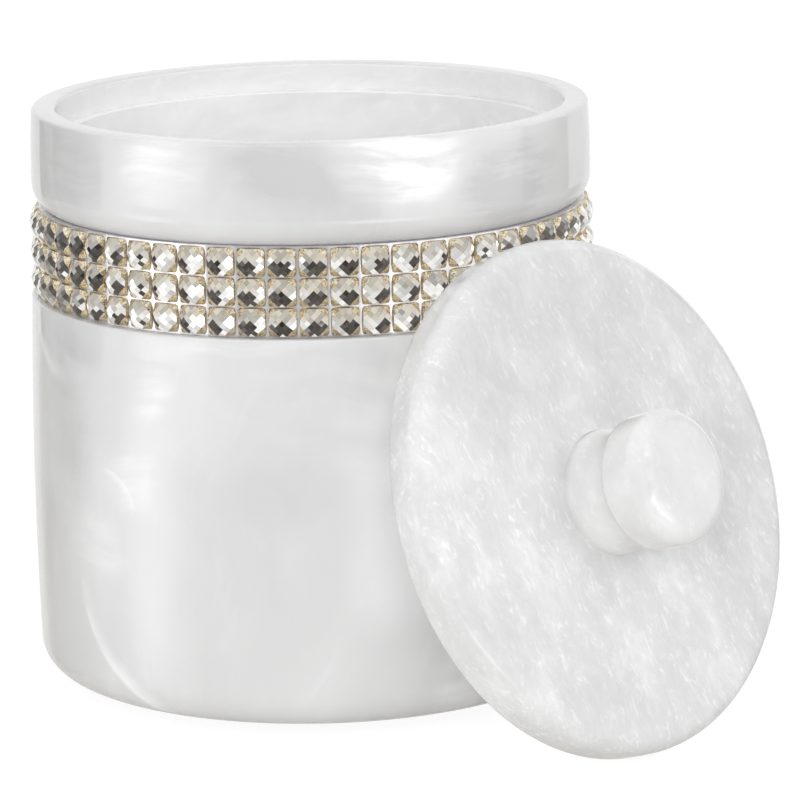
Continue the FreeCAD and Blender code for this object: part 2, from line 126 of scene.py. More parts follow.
@dataclass(frozen=True)
class Eddy:
    """A bright crescent: on the jar where the pigment turned as it was poured, on the knob a
    painted highlight.

    Attributes:
        middle: The point that it turned about, in millimetres.
        radius: Radius of the crescent in millimetres.
        towards: Direction from the middle to where the crescent shows most.
        strength: How bright it is, from 0 to 1.
        reach: How far from its middle it is drawn, in radii.
        profile: Its brightness from the middle out to its reach, with a sharp outer edge.
        ends: Cosines of the angles from towards between which its ends fade in.
        frayed: Levels of the noise between which it is broken up.
    """

    middle: Point
    radius: float
    towards: Point
    strength: float
    reach: float = 1.25
    profile: Stops = ((0.3, "#000000"), (0.66, "#4C4C4C"), (0.785, "#FFFFFF"),
                      (0.83, "#2A2A2A"), (0.95, "#000000"))
    ends: Span = (0.6, 0.85)
    frayed: Span = (0.35, 0.6)

    def draw(self, tree: NodeTree, place: NodeSocket, fray: NodeSocket) -> NodeSocket:
        """Adds the nodes that draw it.

        Args:
            tree: The node tree that gets the nodes.
            place: The position in millimetres.
            fray: A noise that breaks it up.

        Returns:
            How bright the crescent is at each point.
        """
        away = add_node(tree, "ShaderNodeVectorMath", {"operation": "DISTANCE"}, {
            0: place, 1: self.middle}).outputs["Value"]
        share = add_node(tree, "ShaderNodeMath", {"operation": "DIVIDE"}, {
            0: away, 1: self.radius * self.reach}).outputs[0]
        rim = add_node(tree, "ShaderNodeValToRGB", values={"Fac": share},
                       stops=self.profile).outputs["Color"]
        spoke = add_node(tree, "ShaderNodeVectorMath", {"operation": "SUBTRACT"}, {
            0: place, 1: self.middle}).outputs[0]
        heading = add_node(tree, "ShaderNodeVectorMath", {"operation": "NORMALIZE"}, {
            0: spoke}).outputs[0]
        along = add_node(tree, "ShaderNodeVectorMath", {"operation": "DOT_PRODUCT"}, {
            0: heading, 1: tuple(Vector(self.towards).normalized())}).outputs["Value"]
        shown = add_node(tree, "ShaderNodeMapRange", FADE, {
            "Value": along, "From Min": self.ends[0], "From Max": self.ends[1],
            "To Max": self.strength}).outputs["Result"]
        left = add_node(tree, "ShaderNodeMapRange", FADE, {
            "Value": fray, "From Min": self.frayed[0],
            "From Max": self.frayed[1]}).outputs["Result"]
        broken = add_node(tree, "ShaderNodeMath", {"operation": "MULTIPLY"}, {
            0: shown, 1: left}).outputs[0]
        return add_node(tree, "ShaderNodeMath", {"operation": "MULTIPLY"}, {
            0: rim, 1: broken}).outputs[0]


@dataclass(frozen=True)
class Sweep:
    """A patch of fine streaks, lighter or darker: on the jar some are pigment drawn out sideways,
    others painted light and shade.

    Attributes:
        middle: Its middle in millimetres.
        reach: How far it reaches along X, Y and Z, in millimetres.
        strength: How much brighter it is, from 0 to 1, or darker where this is below 0.
        streak: How far apart the streaks lie, in millimetres.
        length: How many times longer a streak is than the streaks lie apart.
        between: What is left of the strength between two streaks.
        edge: Share of its reach at which it starts to fade out.
    """

    middle: Point
    reach: Point
    strength: float
    streak: float = 2.2
    length: float = 7.0
    between: float = 0.3
    edge: float = 0.25

    def draw(self, tree: NodeTree, place: NodeSocket, _fray: NodeSocket) -> NodeSocket:
        """Adds the nodes that draw it.

        Args:
            tree: The node tree that gets the nodes.
            place: The position in millimetres.
            _fray: A noise for breaking a mark up, which streaks don't need.

        Returns:
            How bright the streaks are at each point.
        """
        near = add_node(tree, "ShaderNodeMapping", {"vector_type": "TEXTURE"}, {
            "Vector": place, "Location": self.middle, "Scale": self.reach}).outputs["Vector"]
        away = add_node(tree, "ShaderNodeVectorMath", {"operation": "LENGTH"}, {
            0: near}).outputs["Value"]
        wide = self.streak * self.length
        drawn = add_node(tree, "ShaderNodeMapping", {"vector_type": "TEXTURE"}, {
            "Vector": place, "Scale": (wide, wide, self.streak)}).outputs["Vector"]
        streaks = add_node(tree, "ShaderNodeTexNoise", values={
            "Vector": drawn, "Scale": 1.0, "Detail": 5.0, "Roughness": 0.6}).outputs["Fac"]
        shown = add_node(tree, "ShaderNodeMapRange", FADE, {
            "Value": streaks, "From Min": 0.3, "From Max": 0.7,
            "To Min": self.between}).outputs["Result"]
        left = add_node(tree, "ShaderNodeMapRange", FADE, {
            "Value": away, "From Min": self.edge, "From Max": 1.0, "To Min": self.strength,
            "To Max": 0.0}).outputs["Result"]
        return add_node(tree, "ShaderNodeMath", {"operation": "MULTIPLY"}, {
            0: shown, 1: left}).outputs[0]


@dataclass(frozen=True)
class Finish:
    """A finish that a real piece has, which makes its own material.

    Attributes:
        name: The material's name.
    """

    name: str

    def surface(self, tree: NodeTree) -> Inputs:
        """Draws the finish's pattern, which each finish does in its own way.

        Args:
            tree: The node tree that gets the nodes.

        Returns:
            The plain values and sockets that the shader's inputs take.
        """
        raise NotImplementedError

    def make(self) -> Material:
        """Builds the material.

        Returns:
            The material.
        """
        material, tree = new_material(self.name)
        shader = add_node(tree, "ShaderNodeBsdfPrincipled", values=self.surface(tree))
        add_node(tree, "ShaderNodeOutputMaterial", values={"Surface": shader.outputs["BSDF"]})
        return material


@dataclass(frozen=True)
class PearlResin(Finish):
    """Polyester resin cast with pearl pigment, cured and buffed to a gloss.

    The pigment drifts in the setting resin, which the eye reads as soft clouds and bright
    flecks that hang below a glassy surface.

    Attributes:
        deep: Hex colour where the pigment lies thin.
        body: Hex colour of most of the resin.
        bright: Hex colour where the pigment lies thick.
        flake: Hex colour of a fleck that faces the light.
        cloud: Width of a cloud in millimetres.
        fleck: Width of a fleck in millimetres.
        stretch: How much longer a fleck is than wide.
        fleck_share: How strongly the flecks show, from 0 to 1.
        grain: How rough the clouds' edges are, from 0 to 1.
        warp: How far the drift bends the pattern, in millimetres.
        lie: How far the flecks lie over from upright, in radians.
        upright: Turns the axis that the flecks run along upright, as angles in radians.
        centre: Point in metres that the pattern is laid out from.
        turn: Turns the pattern with its piece, as angles in radians.
        marks: The crescents and streaks in it, some of them painted light and shade.
        gloss: Roughness of the buffed surface.
        ior: How strongly the resin bends light.
    """

    deep: str
    body: str
    bright: str
    flake: str
    cloud: float
    fleck: float
    stretch: float
    fleck_share: float
    grain: float
    warp: float
    lie: float
    upright: Point = (0.0, 0.0, 0.0)
    centre: Point = (0.0, 0.0, 0.0)
    turn: Point = (0.0, 0.0, 0.0)
    marks: tuple[Union[Eddy, Sweep], ...] = ()
    gloss: float = 0.06
    ior: float = 1.52

    def surface(self, tree: NodeTree) -> Inputs:
        """Draws drifting clouds, the flecks gathered in them, and the marks.

        Args:
            tree: The node tree that gets the nodes.

        Returns:
            The shader's inputs.
        """
        place = add_node(tree, "ShaderNodeTexCoord").outputs["Object"]
        laid = add_node(tree, "ShaderNodeMapping", {"vector_type": "TEXTURE"}, {
            "Vector": place, "Location": self.centre, "Rotation": self.turn,
            "Scale": (MM, MM, MM)}).outputs["Vector"]
        drift = add_node(tree, "ShaderNodeTexNoise", values={
            "Vector": laid, "Scale": 1 / self.cloud, "Detail": 2.0, "Roughness": 0.5})
        middle = add_node(tree, "ShaderNodeVectorMath", {"operation": "SUBTRACT"}, {
            0: drift.outputs["Color"], 1: (0.5, 0.5, 0.5)}).outputs[0]
        push, calm = (
            add_node(tree, "ShaderNodeVectorMath", {"operation": "MULTIPLY_ADD"}, {
                0: middle, 1: (far,) * 3, 2: laid}).outputs[0]
            for far in (self.warp, self.warp / 2))
        # A mark's middle is given from the table's middle, or from the piece's own if it leans.
        where = calm if any(self.turn) else add_node(tree, "ShaderNodeVectorMath", values={
            0: calm, 1: tuple(Vector(self.centre) / MM)}).outputs[0]
        slant = push
        for angles in (self.upright, (0.0, 0.0, -self.lie)):
            slant = add_node(tree, "ShaderNodeMapping", values={
                "Vector": slant, "Rotation": angles}).outputs["Vector"]
        long, drawn = (
            add_node(tree, "ShaderNodeMapping", values={
                "Vector": slant, "Scale": (1.0, 1 / longer, 1.0)}).outputs["Vector"]
            for longer in (self.stretch, math.sqrt(self.stretch)))
        clouds = add_node(tree, "ShaderNodeTexNoise", values={
            "Vector": drawn, "Scale": 1 / self.cloud, "Detail": 8.0,
            "Roughness": self.grain}).outputs["Fac"]
        flecks = add_node(tree, "ShaderNodeTexNoise", values={
            "Vector": long, "Scale": 1 / self.fleck, "Detail": 3.0,
            "Roughness": 0.6}).outputs["Fac"]
        peaks = add_node(tree, "ShaderNodeMapRange", FADE, {
            "Value": flecks, "From Min": 0.5, "From Max": 0.72}).outputs["Result"]
        patches = add_node(tree, "ShaderNodeTexNoise", values={
            "Vector": push, "Scale": 2.2 / self.cloud, "Detail": 3.0}).outputs["Fac"]
        gathered = add_node(tree, "ShaderNodeMapRange", FADE, {
            "Value": patches, "From Min": 0.38, "From Max": 0.62,
            "To Min": 0.25 * self.fleck_share, "To Max": self.fleck_share}).outputs["Result"]
        mixed = add_node(tree, "ShaderNodeMath", {"operation": "MULTIPLY_ADD"}, {
            0: peaks, 1: gathered, 2: clouds}).outputs[0]
        for mark in self.marks:
            mixed = add_node(tree, "ShaderNodeMath", values={
                0: mixed, 1: mark.draw(tree, where, patches)}).outputs[0]
        colour = add_node(tree, "ShaderNodeValToRGB", values={"Fac": mixed}, stops=(
            (0.25, self.deep), (0.5, self.body), (0.68, self.bright),
            (0.95, self.flake))).outputs["Color"]
        return {"Base Color": colour, "Roughness": self.gloss, "IOR": self.ior}


@dataclass(frozen=True)
class CutCrystal(Finish):
    """Machine-cut crystal glass, polished flat on every facet and silvered behind.

    The silvering throws the view back through the facet, which bends it away from the facet's
    own slope. The eye reads this as sparkle: facet beside facet, each of one tone. The polished
    glass over it adds its own gloss.

    Attributes:
        tone: The colour attribute that holds how much light a facet passes.
        facing: The vector attribute that holds where the silvering seems to face.
        polish: Roughness of the silvering seen through the facet.
        ior: How strongly the glass bends light.
    """

    name: str = "crystal_cut_silvered"
    tone: str = "facet_tone"
    facing: str = "silver_facing"
    polish: float = 0.03
    ior: float = 1.56

    def surface(self, tree: NodeTree) -> Inputs:
        """Reads each facet's tone and where its silvering faces.

        Args:
            tree: The node tree that gets the nodes.

        Returns:
            The shader's inputs.
        """
        tone = add_node(tree, "ShaderNodeAttribute", {"attribute_name": self.tone})
        facing = add_node(tree, "ShaderNodeAttribute", {"attribute_name": self.facing})
        turned = add_node(tree, "ShaderNodeVectorTransform", {
            "vector_type": "NORMAL", "convert_from": "OBJECT", "convert_to": "WORLD"},
            {0: facing.outputs["Vector"]}).outputs[0]
        return {"Base Color": tone.outputs["Color"], "Normal": turned, "Metallic": 1.0,
                "Roughness": self.polish, "Coat Weight": 1.0, "Coat Roughness": 0.0,
                "Coat IOR": self.ior}


@dataclass(frozen=True)
class GoldFoil(Finish):
    """Gold-lacquered foil wrapped round a stone, seen through its thin edge.

    The wrapping creases it, which breaks its warm reflection into short bright strokes; its
    colour is also painted darker in a crease and lighter on a ridge.

    Attributes:
        deep: Hex colour in a crease, painted shade.
        body: Hex colour of the lacquer.
        bright: Hex colour on a crease's ridge, a painted highlight.
        crease: Width of a crease in millimetres.
        depth: Depth of a crease in millimetres.
        roughness: Roughness of the lacquer.
    """

    name: str = "foil_gold_lacquered"
    deep: str = "#BCA076"
    body: str = "#EEDDB8"
    bright: str = "#FFFFF4"
    crease: float = 0.45
    depth: float = 0.25
    roughness: float = 0.28

    def surface(self, tree: NodeTree) -> Inputs:
        """Draws the creases, in colour and in relief.

        Args:
            tree: The node tree that gets the nodes.

        Returns:
            The shader's inputs.
        """
        place = add_node(tree, "ShaderNodeTexCoord").outputs["Object"]
        creases = add_node(tree, "ShaderNodeTexNoise", values={
            "Vector": place, "Scale": 1 / (self.crease * MM), "Detail": 2.0,
            "Distortion": 1.2}).outputs["Fac"]
        # Painted shade in the creases and painted highlight on the ridges, from the same noise as
        # the relief.
        colour = add_node(tree, "ShaderNodeValToRGB", values={"Fac": creases}, stops=(
            (0.36, self.deep), (0.5, self.body), (0.64, self.bright))).outputs["Color"]
        dent = add_node(tree, "ShaderNodeBump", values={
            "Height": creases, "Strength": 0.6, "Distance": self.depth * MM}).outputs["Normal"]
        return {"Base Color": colour, "Normal": dent, "Metallic": 1.0,
                "Roughness": self.roughness}


@dataclass(frozen=True)
class PlatedMetal(Finish):
    """Metal with a thin plated skin, slightly uneven from the bath.

    The unevenness breaks the reflections up a little, so that it doesn't look like glass.

    Attributes:
        light: Hex colour of the plating.
        dull: Hex colour where it has tarnished.
        grain: Size of the unevenness in millimetres.
        shine: How much of it mirrors, where a frosty plating also scatters.
        roughness: Its roughness, about which the bath's unevenness varies.
    """

    light: str
    dull: str
    grain: float
    shine: float = 1.0
    roughness: float = 0.3

    def surface(self, tree: NodeTree) -> Inputs:
        """Draws the bath's unevenness, in colour and in polish.

        Args:
            tree: The node tree that gets the nodes.

        Returns:
            The shader's inputs.
        """
        place = add_node(tree, "ShaderNodeTexCoord").outputs["Object"]
        bath = add_node(tree, "ShaderNodeTexNoise", values={
            "Vector": place, "Scale": 1 / (self.grain * MM), "Detail": 2.0}).outputs["Fac"]
        colour = add_node(tree, "ShaderNodeValToRGB", values={"Fac": bath}, stops=(
            (0.35, self.dull), (0.6, self.light))).outputs["Color"]
        rough = add_node(tree, "ShaderNodeMapRange", values={
            "Value": bath, "To Min": self.roughness * 1.5, "To Max": self.roughness * 0.7})
        return {"Base Color": colour, "Roughness": rough.outputs["Result"],
                "Metallic": self.shine}


@dataclass(frozen=True)
class ClosedCellFoam(Finish):
    """Cross-linked polyethylene foam, skived to a thin sheet and die-cut.

    The cut cells leave fine pits, which the eye reads as a matt, slightly soft edge.

    Attributes:
        colour: Hex colour of the foam.
        pit: Hex colour inside a cut cell, painted shade.
        cell: Width of a cell in millimetres.
        depth: Depth of a cut cell in millimetres.
        roughness: Roughness of the skin.
        ior: How strongly the foam's plastic bends light.
    """

    name: str = "polyethylene_foam_skived"
    colour: str = "#E2E2DF"
    pit: str = "#C4C4C0"
    cell: float = 0.45
    depth: float = 0.1
    roughness: float = 0.85
    ior: float = 1.45

    def surface(self, tree: NodeTree) -> Inputs:
        """Draws the cut cells, in colour and in relief.

        Args:
            tree: The node tree that gets the nodes.

        Returns:
            The shader's inputs.
        """
        place = add_node(tree, "ShaderNodeTexCoord").outputs["Object"]
        cells = add_node(tree, "ShaderNodeTexVoronoi", values={
            "Vector": place, "Scale": 1 / (self.cell * MM)}).outputs["Distance"]
        # Painted shade: the colour darkens towards the middle of each cell, where the relief
        # dents it.
        colour = add_node(tree, "ShaderNodeValToRGB", values={"Fac": cells}, stops=(
            (0.1, self.pit), (0.45, self.colour))).outputs["Color"]
        dent = add_node(tree, "ShaderNodeBump", values={
            "Height": cells, "Strength": 0.5, "Distance": self.depth * MM}).outputs["Normal"]
        return {"Base Color": colour, "Normal": dent, "Roughness": self.roughness,
                "IOR": self.ior}


def deselect() -> None:
    """Clears the selection, the parts included."""
    bpy.ops.object.select_all(action="DESELECT")


def keep_only(piece: Object) -> None:
    """Makes one piece the active and only selected one.

    Args:
        piece: The piece.
    """
    deselect()
    piece.select_set(True)
    bpy.context.view_layer.objects.active = piece


def settle(piece: Object) -> None:
    """Moves a piece's place, turn and size into its mesh."""
    keep_only(piece)
    bpy.ops.object.transform_apply(location=True, rotation=True, scale=True)


def added(name: str) -> Object:
    """Names the object that was added last, and its data.

    Args:
        name: The name.

    Returns:
        The object.
    """
    newest = bpy.context.active_object
    newest.name = name
    newest.data.name = name
    return newest


def open_mesh(kind: str, action: str) -> None:
    """Opens the active piece's mesh for editing.

    Args:
        kind: What is selected in it: EDGE or FACE.
        action: SELECT where all of it is selected at first, or DESELECT.
    """
    bpy.ops.object.mode_set(mode="EDIT")
    bpy.ops.mesh.select_mode(type=kind)
    bpy.ops.mesh.select_all(action=action)


def merge_points(near: float) -> None:
    """Merges the open mesh's points that lie this near each other, in millimetres."""
    bpy.ops.mesh.select_all(action="SELECT")
    bpy.ops.mesh.remove_doubles(threshold=near * MM)


def close_mesh() -> None:
    """Turns all faces of the open mesh outwards and ends its editing."""
    bpy.ops.mesh.select_all(action="SELECT")
    bpy.ops.mesh.normals_make_consistent(inside=False)
    bpy.ops.object.mode_set(mode="OBJECT")


def repeat(piece: Object, count: int, settings: Settings) -> None:
    """Repeats a piece with an array modifier.

    Args:
        piece: The piece, in its first place.
        count: How many of it there are then.
        settings: Properties of the modifier, which give the way from one to the next.
    """
    keep_only(piece)
    array = piece.modifiers.new("repeated", "ARRAY")
    array.count = count
    array.use_relative_offset = False
    for name, value in settings.items():
        setattr(array, name, value)
    bpy.ops.object.modifier_apply(modifier=array.name)


def dress(piece: Object, *materials: Material) -> None:
    """Gives a piece its materials.

    Args:
        piece: The piece.
        materials: The materials, in the order of their slots.
    """
    piece.data.materials.clear()
    for material in materials:
        piece.data.materials.append(material)


def report(piece: Object) -> None:
    """Logs a finished piece with its size.

    Args:
        piece: The piece.
    """
    low, high = Vector(piece.bound_box[0]), Vector(piece.bound_box[6])
    size = (high - low) / MM
    log.info("%s: %d faces, %.1f x %.1f x %.1f mm", piece.name, len(piece.data.polygons), *size)


def stand_in(piece: Object, body: str, slot: str, *nodes: str) -> None:
    """Lets a piece take the place of parts on a body.

    Args:
        piece: The finished piece.
        body: The body it moves with.
        slot: Not used.
        nodes: The parts it stands for.
    """
    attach(piece, body)
    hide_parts(*nodes)
    report(piece)


class Turning:
    """A piece turned round the Z axis, ring by ring, from its first to its last."""

    def __init__(self, name: str, radius: float, height: float) -> None:
        """Starts with one ring.

        Args:
            name: The piece's name.
            radius: The ring's radius in millimetres.
            height: The ring's height in millimetres.
        """
        deselect()
        bpy.ops.mesh.primitive_circle_add(
            vertices=ROUND_STEPS, radius=radius * MM, fill_type="NOTHING",
            location=(0, 0, height * MM))
        self.piece = added(name)
        bpy.ops.object.transform_apply(location=True)
        open_mesh("EDGE", "SELECT")
        self.radius = radius
        self.height = height

    def to(self, radius: float, height: float) -> "Turning":
        """Draws the wall on to the next ring.

        Args:
            radius: The next ring's radius in millimetres.
            height: The next ring's height in millimetres.

        Returns:
            The same turning.
        """
        bpy.ops.mesh.extrude_edges_move(
            TRANSFORM_OT_translate={"value": (0, 0, (height - self.height) * MM)})
        if radius != self.radius:
            share = radius / self.radius
            bpy.ops.transform.resize(value=(share, share, 1), center_override=(0, 0, height * MM))
        self.radius, self.height = radius, height
        return self

    def arc_to(self, radius: float, height: float, bend: float, steps: int,
               swells: bool = True) -> "Turning":
        """Draws a curved wall on to the next ring.

        Args:
            radius: The last ring's radius in millimetres.
            height: The last ring's height in millimetres.
            bend: The curve's own radius in millimetres.
            steps: How many rings the curve takes.
            swells: Whether it bulges away from the axis or is hollowed.

        Returns:
            The same turning.
        """
        first, last = Vector((self.radius, self.height)), Vector((radius, height))
        chord = last - first
        inward = Vector((-chord.y, chord.x)).normalized()
        if (inward.x > 0) == swells:
            inward.negate()
        centre = (first + last) / 2 + inward * math.sqrt(bend**2 - (chord.length / 2) ** 2)
        start, end = first - centre, last - centre
        sweep = start.angle_signed(end)
        for step in range(1, steps + 1):
            spoke = start.copy()
            spoke.rotate(Matrix.Rotation(-sweep * step / steps, 2))
            self.to(centre.x + spoke.x, centre.y + spoke.y)
        return self

    def pick(self, radius: float, height: float) -> None:
        """Selects the edges of one ring.

        Args:
            radius: The ring's radius in millimetres.
            height: The ring's height in millimetres.
        """
        bpy.ops.mesh.select_all(action="DESELECT")
        bpy.ops.object.mode_set(mode="OBJECT")
        on_ring = {
            point.index for point in self.piece.data.vertices
            if abs(point.co.z / MM - height) < NEAR
            and abs(point.co.xy.length / MM - radius) < NEAR}
        for edge in self.piece.data.edges:
            edge.select = edge.vertices[0] in on_ring and edge.vertices[1] in on_ring
        bpy.ops.object.mode_set(mode="EDIT")

    def cap(self, radius: float, height: float) -> None:
        """Fills the ring that has this radius at this height."""
        self.pick(radius, height)
        bpy.ops.mesh.edge_face_add()

    def round(self, radius: float, height: float, rounding: float, steps: int) -> None:
        """Rounds the edge along one ring.

        Args:
            radius: The ring's radius in millimetres.
            height: The ring's height in millimetres.
            rounding: How far the rounding reaches from the edge, in millimetres.
            steps: How many flats the rounding takes.
        """
        self.pick(radius, height)
        bpy.ops.mesh.bevel(offset=rounding * MM, segments=steps, affect="EDGES",
                           clamp_overlap=False)

    def finish(self) -> Object:
        """Turns the faces outwards and smooths them.

        Returns:
            The turned piece.
        """
        close_mesh()
        keep_only(self.piece)
        bpy.ops.object.shade_smooth_by_angle(angle=SMOOTH_ANGLE)
        return self.piece


def bow(chord: float, rise: float) -> float:
    """Radius of an arc from its chord and its rise."""
    return (chord * chord / 4 + rise * rise) / (2 * rise)


@dataclass(frozen=True)
class Jar:
    """The jar: one casting with a bowed wall, a groove for the crystals and a collar."""

    underside: float = 2.4
    cavity_floor: float = 10.4
    band_bottom: float = 71.1
    band_top: float = 86.87
    ledge: float = 99.2
    rim: float = 104.4
    wall_foot: float = 50.55
    wall_top: float = 50.4
    groove: float = 46.95
    collar_edge: float = 47.6
    collar: float = 49.9
    collar_start: float = 91.343
    rim_radius: float = 49.5
    mouth: float = 45.2
    mouth_margin: float = 0.1
    cavity: float = 43.2
    wall_bow: float = 0.66
    collar_bow: float = 0.12
    turn_in: float = 5.5
    base_rounding: float = 5.5
    shoulder_rounding: float = 0.5
    rim_rounding: float = 0.7
    cavity_rounding: float = 4.0
    ledge_rounding: float = 0.25

    def build(self, resin: Material, inside: Material) -> None:
        """Turns the jar and dresses it.

        Args:
            resin: The jar's resin.
            inside: A lighter copy of the resin for inside the mouth, painted light in place of
                the shade in the hollow.
        """
        wall = bow(self.band_bottom - self.underside, self.wall_bow)
        side = bow(self.rim - self.collar_start, self.collar_bow)
        shell = Turning("jar_shell", self.wall_foot, self.underside)
        shell.arc_to(self.wall_top, self.band_bottom, wall, steps=12)
        shell.to(self.groove, self.band_bottom).to(self.groove, self.band_top)
        shell.to(self.collar_edge, self.band_top)
        shell.arc_to(self.collar, self.collar_start, self.turn_in, steps=10)
        shell.arc_to(self.rim_radius, self.rim, side, steps=6)
        shell.to(self.mouth, self.rim).to(self.mouth, self.ledge).to(self.cavity, self.ledge)
        shell.to(self.cavity, self.cavity_floor)
        shell.cap(self.cavity, self.cavity_floor)
        shell.cap(self.wall_foot, self.underside)
        shell.round(self.wall_foot, self.underside, self.base_rounding, steps=14)
        shell.round(self.wall_top, self.band_bottom, self.shoulder_rounding, steps=5)
        shell.round(self.rim_radius, self.rim, self.rim_rounding, steps=6)
        shell.round(self.mouth, self.rim, self.rim_rounding, steps=6)
        shell.round(self.cavity, self.ledge, self.ledge_rounding, steps=3)
        shell.round(self.cavity, self.cavity_floor, self.cavity_rounding, steps=10)
        piece = shell.finish()
        dress(piece, resin, inside)
        # Painted light: the faces inside the mouth take the lighter copy of the resin.
        for face in piece.data.polygons:
            within = face.center.xy.length < (self.mouth + self.mouth_margin) * MM
            face.material_index = int(within and face.center.z > self.cavity_floor * MM / 2)
        stand_in(piece, "jar", "jar_resin", "jar")


class Row(Enum):
    """The rows of crystals, with the height of their middle in millimetres."""

    TOP = 84.115
    MIDDLE = 78.985
    BOTTOM = 73.855


@dataclass(frozen=True)
class CrystalBand:
    """Three rows of foiled square stones in a plated setting strip.

    Attributes:
        columns: How many stones a row has.
        bed: Radius that the stones' backs lie on.
        neck: Radius of the strip's inner side.
        pitch: From one stone to the next.
        stone: Width of a stone.
        height: From a stone's back to the top of its crown.
        corner: Rounding of a stone's corners.
        corner_steps: Flats that a rounded corner takes.
        crown_drop: How far the crown falls from its middle to its sides.
        facet: Width of a facet across its points.
        silver_reach: How far from a stone's middle the silvering reaches, along its sides.
        squarely: How squarely a face of the crown looks out, at the least, from 0 to 1.
        bending: How far the view bends away from a facet's slope, where 1 doesn't bend it.
        dimmest: How much light the dullest facet passes.
        crown_tint: Tint of the crown's glass, as shares of red, green and blue.
        strip: How far the strip's bars stand over the bed.
        strip_floor: How far its windows' floors stand over the bed.
        strip_edge: How far it reaches past its bars above and below.
        clearance: Gap between a stone and its window.
        window_corner: Rounding of a window's corners.
    """

    columns: int = 58
    bed: float = 47.4
    neck: float = 47.1
    pitch: float = 5.13
    stone: float = 4.75
    height: float = 3.0
    corner: float = 0.55
    corner_steps: int = 3
    crown_drop: float = 1.1
    facet: float = 1.19
    silver_reach: float = 2.98
    squarely: float = 0.5
    bending: float = -0.56
    dimmest: float = 0.55
    crown_tint: Point = (1.0, 0.985, 0.95)
    strip: float = 1.3
    strip_floor: float = 0.7
    strip_edge: float = 0.14
    clearance: float = 0.04
    window_corner: float = 0.55

    def cut_stone(self) -> Object:
        """Cuts one stone: a block with softened corners under a crown of diamond facets.

        Returns:
            The stone, its back on the XY plane and its crown up.
        """
        deselect()
        half = self.stone / 2
        bpy.ops.mesh.primitive_cube_add(
            size=1, location=(0, 0, self.height * MM),
            scale=(self.stone * MM, self.stone * MM, 2 * self.height * MM))
        stone = added("stone")
        settle(stone)
        open_mesh("EDGE", "DESELECT")
        bpy.ops.object.mode_set(mode="OBJECT")
        points = stone.data.vertices
        for edge in stone.data.edges:
            first, last = (points[number].co for number in edge.vertices)
            edge.select = (first.xy - last.xy).length < NEAR * MM
        bpy.ops.object.mode_set(mode="EDIT")
        bpy.ops.mesh.bevel(offset=self.corner * MM, segments=self.corner_steps, affect="EDGES")
        step = self.facet / 2
        fall = self.crown_drop / half**2
        reach = math.ceil(half / step)
        widest = half * 2 - self.corner + step
        for across in range(-reach, reach + 1):
            for along in range(-reach, reach + 1):
                x, y = across * step, along * step
                if (across + along) % 2 or abs(x) + abs(y) > widest:
                    continue
                self.cut(Vector((x, y, self.height - fall * (x * x + y * y))),
                         Vector((2 * fall * x, 2 * fall * y, 1)))
        merge_points(SAME_POINT)
        close_mesh()
        return stone

    @staticmethod
    def cut(point: Vector, outward: Vector) -> None:
        """Cuts one flat facet.

        Args:
            point: A point of the facet in millimetres.
            outward: Where the facet faces.
        """
        bpy.ops.mesh.select_all(action="SELECT")
        bpy.ops.mesh.bisect(plane_co=point * MM, plane_no=outward, use_fill=True,
                            clear_outer=True, threshold=ON_PLANE)

    def set_row(self, row: Row, stone: Object) -> None:
        """Sets one row of stones round the neck.

        Args:
            row: Which row.
            stone: The stone that is copied.
        """
        keep_only(stone)
        bpy.ops.object.duplicate(linked=False)
        piece = added(f"stones_{row.name.lower()}")
        self.seat(piece, row.value)
        self.array(piece)
        self.foil(piece, row)
        stand_in(piece, "jar", "crystal", f"crystals_{row.name.lower()}_row")

    def foil(self, row_piece: Object, row: Row) -> None:
        """Silvers the middle of each crown, and wraps corners and sides in gold foil.

        Args:
            row_piece: The row, its stones in place.
            row: Which row it is.
        """
        mesh = row_piece.data
        mesh.attributes.new("silver_facing", "FLOAT_VECTOR", "FACE")
        mesh.attributes.new("facet_tone", "FLOAT_COLOR", "FACE")
        facing, tones = mesh.attributes["silver_facing"], mesh.attributes["facet_tone"]
        step = TURN / self.columns
        half_facet = self.facet / 2
        for face, way, tone in zip(mesh.polygons, facing.data, tones.data):
            column = math.floor(math.atan2(face.center.y, face.center.x) / step)
            turn = (column + 0.5) * step
            outward = Vector((math.cos(turn), math.sin(turn), 0))
            level = face.normal.dot(outward)
            sideways = face.normal - outward * level
            way.vector = (outward * level + sideways * self.bending).normalized()
            across = face.center.cross(outward).z / MM
            above = face.center.z / MM - row.value
            crown = level > self.squarely and abs(across) + abs(above) < self.silver_reach
            face.material_index = 0 if crown else 1
            # A facet draws by its place, because the order of a cut mesh isn't always the same.
            spot = (row.name, column, round(across / half_facet), round(above / half_facet))
            light = random.Random(str(spot)).uniform(self.dimmest, 1.0)
            tone.color = (*(light * share for share in self.crown_tint), 1.0)

    def array(self, piece: Object) -> None:
        """Repeats a piece round the neck, once for each column.

        Args:
            piece: The piece, in its first place.
        """
        bpy.ops.object.empty_add()
        guide = bpy.context.active_object
        guide.rotation_euler = (0, 0, TURN / self.columns)
        repeat(piece, self.columns, {"use_object_offset": True, "offset_object": guide})
        bpy.data.objects.remove(guide)

    def seat(self, piece: Object, level: float) -> None:
        """Stands a flat-lying piece on the neck, half a column round.

        Args:
            piece: The piece, its back on the XY plane.
            level: Height of its middle in millimetres.
        """
        half_step = TURN / self.columns / 2
        outward = Vector((math.cos(half_step), math.sin(half_step), 0))
        up = Vector((0, 0, 1))
        axes = Matrix((up.cross(outward), up, outward)).transposed()
        piece.matrix_world = (Matrix.Translation((outward * self.bed + up * level) * MM)
                              @ axes.to_4x4())
        settle(piece)

